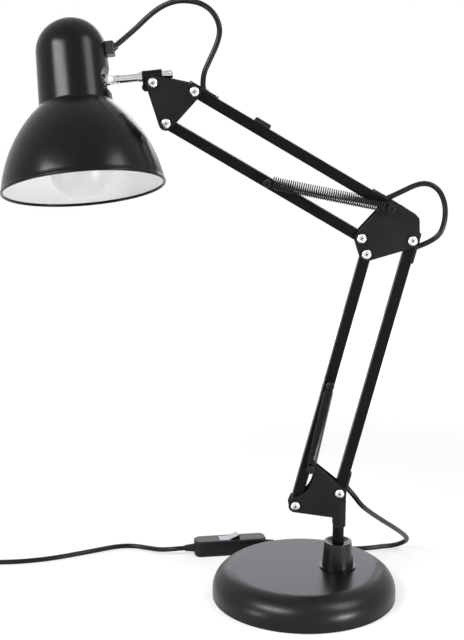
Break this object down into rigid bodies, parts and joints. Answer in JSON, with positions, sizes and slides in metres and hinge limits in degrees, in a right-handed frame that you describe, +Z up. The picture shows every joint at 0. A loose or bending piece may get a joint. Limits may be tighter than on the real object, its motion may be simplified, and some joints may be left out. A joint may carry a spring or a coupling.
{
  "type": "table lamp",
  "caption": "Spring-balanced swing-arm table lamp with a round weighted base, square-tube parallelogram arms, bell shade and corded inline switch.",
  "frame": {"origin": "centre of the base on the table", "axes": "+Z up; arms swing in the XZ plane with the shade towards -X; front plates face -Y"},
  "size_m": [0.5431, 0.2233, 0.5735],
  "materials": {
    "black_paint": "satin",
    "black_steel": "satin",
    "bright_steel": "satin",
    "chrome": "polished",
    "zinc_steel": "satin",
    "iron": "matte",
    "foam_rubber": "matte",
    "black_moulding": "satin",
    "rocker_plastic": "gloss",
    "cord_sheath": "satin",
    "brass": "satin",
    "nickel_cap": "satin",
    "white_plastic": "matte",
    "frosted": "matte"
  },
  "bodies": {
    "base": {"base_cover": "black_paint", "base_weight": "iron", "base_pad": "foam_rubber", "base_socket": "black_moulding", "socket_nut": "zinc_steel", "switch_lower_shell": "black_moulding", "switch_upper_shell": "black_moulding", "switch_screws": "bright_steel", "switch_contacts": "brass", "mains_cord_rise": "cord_sheath", "mains_cord_rear": "cord_sheath", "mains_cord_front": "cord_sheath", "mains_cord_coil": "cord_sheath", "coil_tie": "black_moulding", "plug_body": "black_moulding", "plug_pins": "zinc_steel"},
    "rocker": {"switch_rocker": "rocker_plastic"},
    "swivel_bracket": {"swivel_bracket": "black_paint", "swivel_post": "black_paint", "bracket_screws": "bright_steel", "bracket_nuts": "black_steel", "bracket_spring_studs": "black_steel", "lower_front_spring": "black_steel", "lower_back_spring": "black_steel"},
    "lower_rear_arm": {"lower_rear_tube": "black_paint", "lower_grommets": "black_moulding", "lower_cable_run": "cord_sheath"},
    "lower_front_arm": {"lower_front_tube": "black_paint", "lower_spring_bolt": "black_steel"},
    "elbow": {"elbow_front_plate": "black_paint", "elbow_back_plate": "black_paint", "elbow_screws": "bright_steel", "elbow_nuts": "black_steel", "elbow_spring_bolt": "black_steel", "upper_front_spring": "black_steel", "upper_back_spring": "black_steel", "elbow_cord": "cord_sheath"},
    "upper_top_arm": {"upper_top_tube": "black_paint", "upper_grommets": "black_moulding", "upper_tube_clip": "black_moulding", "upper_cable_run": "cord_sheath"},
    "upper_bottom_arm": {"upper_bottom_tube": "black_paint", "upper_spring_bolt": "black_steel"},
    "head_bracket": {"head_front_plate": "black_paint", "head_back_plate": "black_paint", "head_screws": "bright_steel", "head_nuts": "black_steel"},
    "wing_nut": {"wing_nut": "black_paint"},
    "stem_clamp": {"stem_clamp": "black_paint"},
    "stem": {"stem": "chrome", "stem_cotter": "bright_steel"},
    "head": {"shade": "black_paint", "shade_yoke": "chrome", "yoke_screw": "bright_steel", "cord_gland": "black_moulding", "lampholder": "black_moulding", "bulb_cap": "nickel_cap", "bulb_body": "white_plastic", "bulb_dome": "frosted", "head_cord": "cord_sheath"}
  },
  "joints": [
    {"name": "base_swivel", "type": "hinge", "parent": "base", "child": "swivel_bracket", "pos_m": [0.033, 0, 0.0565], "axis": [0, 0, 1], "range_deg": [-170, 170]},
    {"name": "lower_arm_swing", "type": "hinge", "parent": "swivel_bracket", "child": "lower_rear_arm", "pos_m": [0.033, 0, 0.1075], "axis": [0, -1, 0], "range_deg": [-20, 65], "deforming": ["lower_front_spring", "lower_back_spring", "mains_cord_rise"]},
    {"name": "lower_front_swing", "type": "hinge", "parent": "swivel_bracket", "child": "lower_front_arm", "pos_m": [-0.00945, 0, 0.09484], "axis": [0, -1, 0], "range_deg": [-20, 65]},
    {"name": "elbow_level", "type": "hinge", "parent": "lower_rear_arm", "child": "elbow", "pos_m": [0.09655, 0, 0.35446], "axis": [0, -1, 0], "range_deg": [-65, 20]},
    {"name": "upper_arm_swing", "type": "hinge", "parent": "elbow", "child": "upper_top_arm", "pos_m": [0.07525, 0, 0.38526], "axis": [0, 1, 0], "range_deg": [-50, 45], "deforming": ["upper_front_spring", "upper_back_spring", "elbow_cord"]},
    {"name": "upper_bottom_swing", "type": "hinge", "parent": "elbow", "child": "upper_bottom_arm", "pos_m": [0.04927, 0, 0.35671], "axis": [0, 1, 0], "range_deg": [-50, 45]},
    {"name": "head_level", "type": "hinge", "parent": "upper_top_arm", "child": "head_bracket", "pos_m": [-0.10476, 0, 0.49086], "axis": [0, 1, 0], "range_deg": [-45, 50]},
    {"name": "head_pitch", "type": "hinge", "parent": "head_bracket", "child": "stem_clamp", "pos_m": [-0.14226, 0, 0.49867], "axis": [0, 1, 0], "range_deg": [-15, 50], "deforming": ["head_cord"]},
    {"name": "stem_roll", "type": "hinge", "parent": "stem_clamp", "child": "stem", "pos_m": [-0.14287, 0, 0.50448], "axis": [0.9945, 0, 0.1045], "range_deg": [-80, 40]},
    {"name": "shade_tilt", "type": "hinge", "parent": "stem", "child": "head", "pos_m": [-0.18044, 0, 0.50053], "axis": [0.034, 0.9455, -0.3238], "range_deg": [-10, 40]},
    {"name": "wing_nut_turn", "type": "hinge", "parent": "head_bracket", "child": "wing_nut", "pos_m": [-0.14226, 0, 0.49867], "axis": [0, 1, 0], "continuous": true},
    {"name": "rocker_press", "type": "hinge", "parent": "base", "child": "rocker", "pos_m": [-0.07399, 0.10634, 0.0148], "axis": [-0.1564, 0.9877, 0], "range_deg": [0, 24]}
  ],
  "couplings": [
    {"joint": "lower_front_swing", "follows": "lower_arm_swing", "ratio": 1},
    {"joint": "elbow_level", "follows": "lower_arm_swing", "ratio": -1},
    {"joint": "upper_bottom_swing", "follows": "upper_arm_swing", "ratio": 1},
    {"joint": "head_level", "follows": "upper_arm_swing", "ratio": -1}
  ]
}
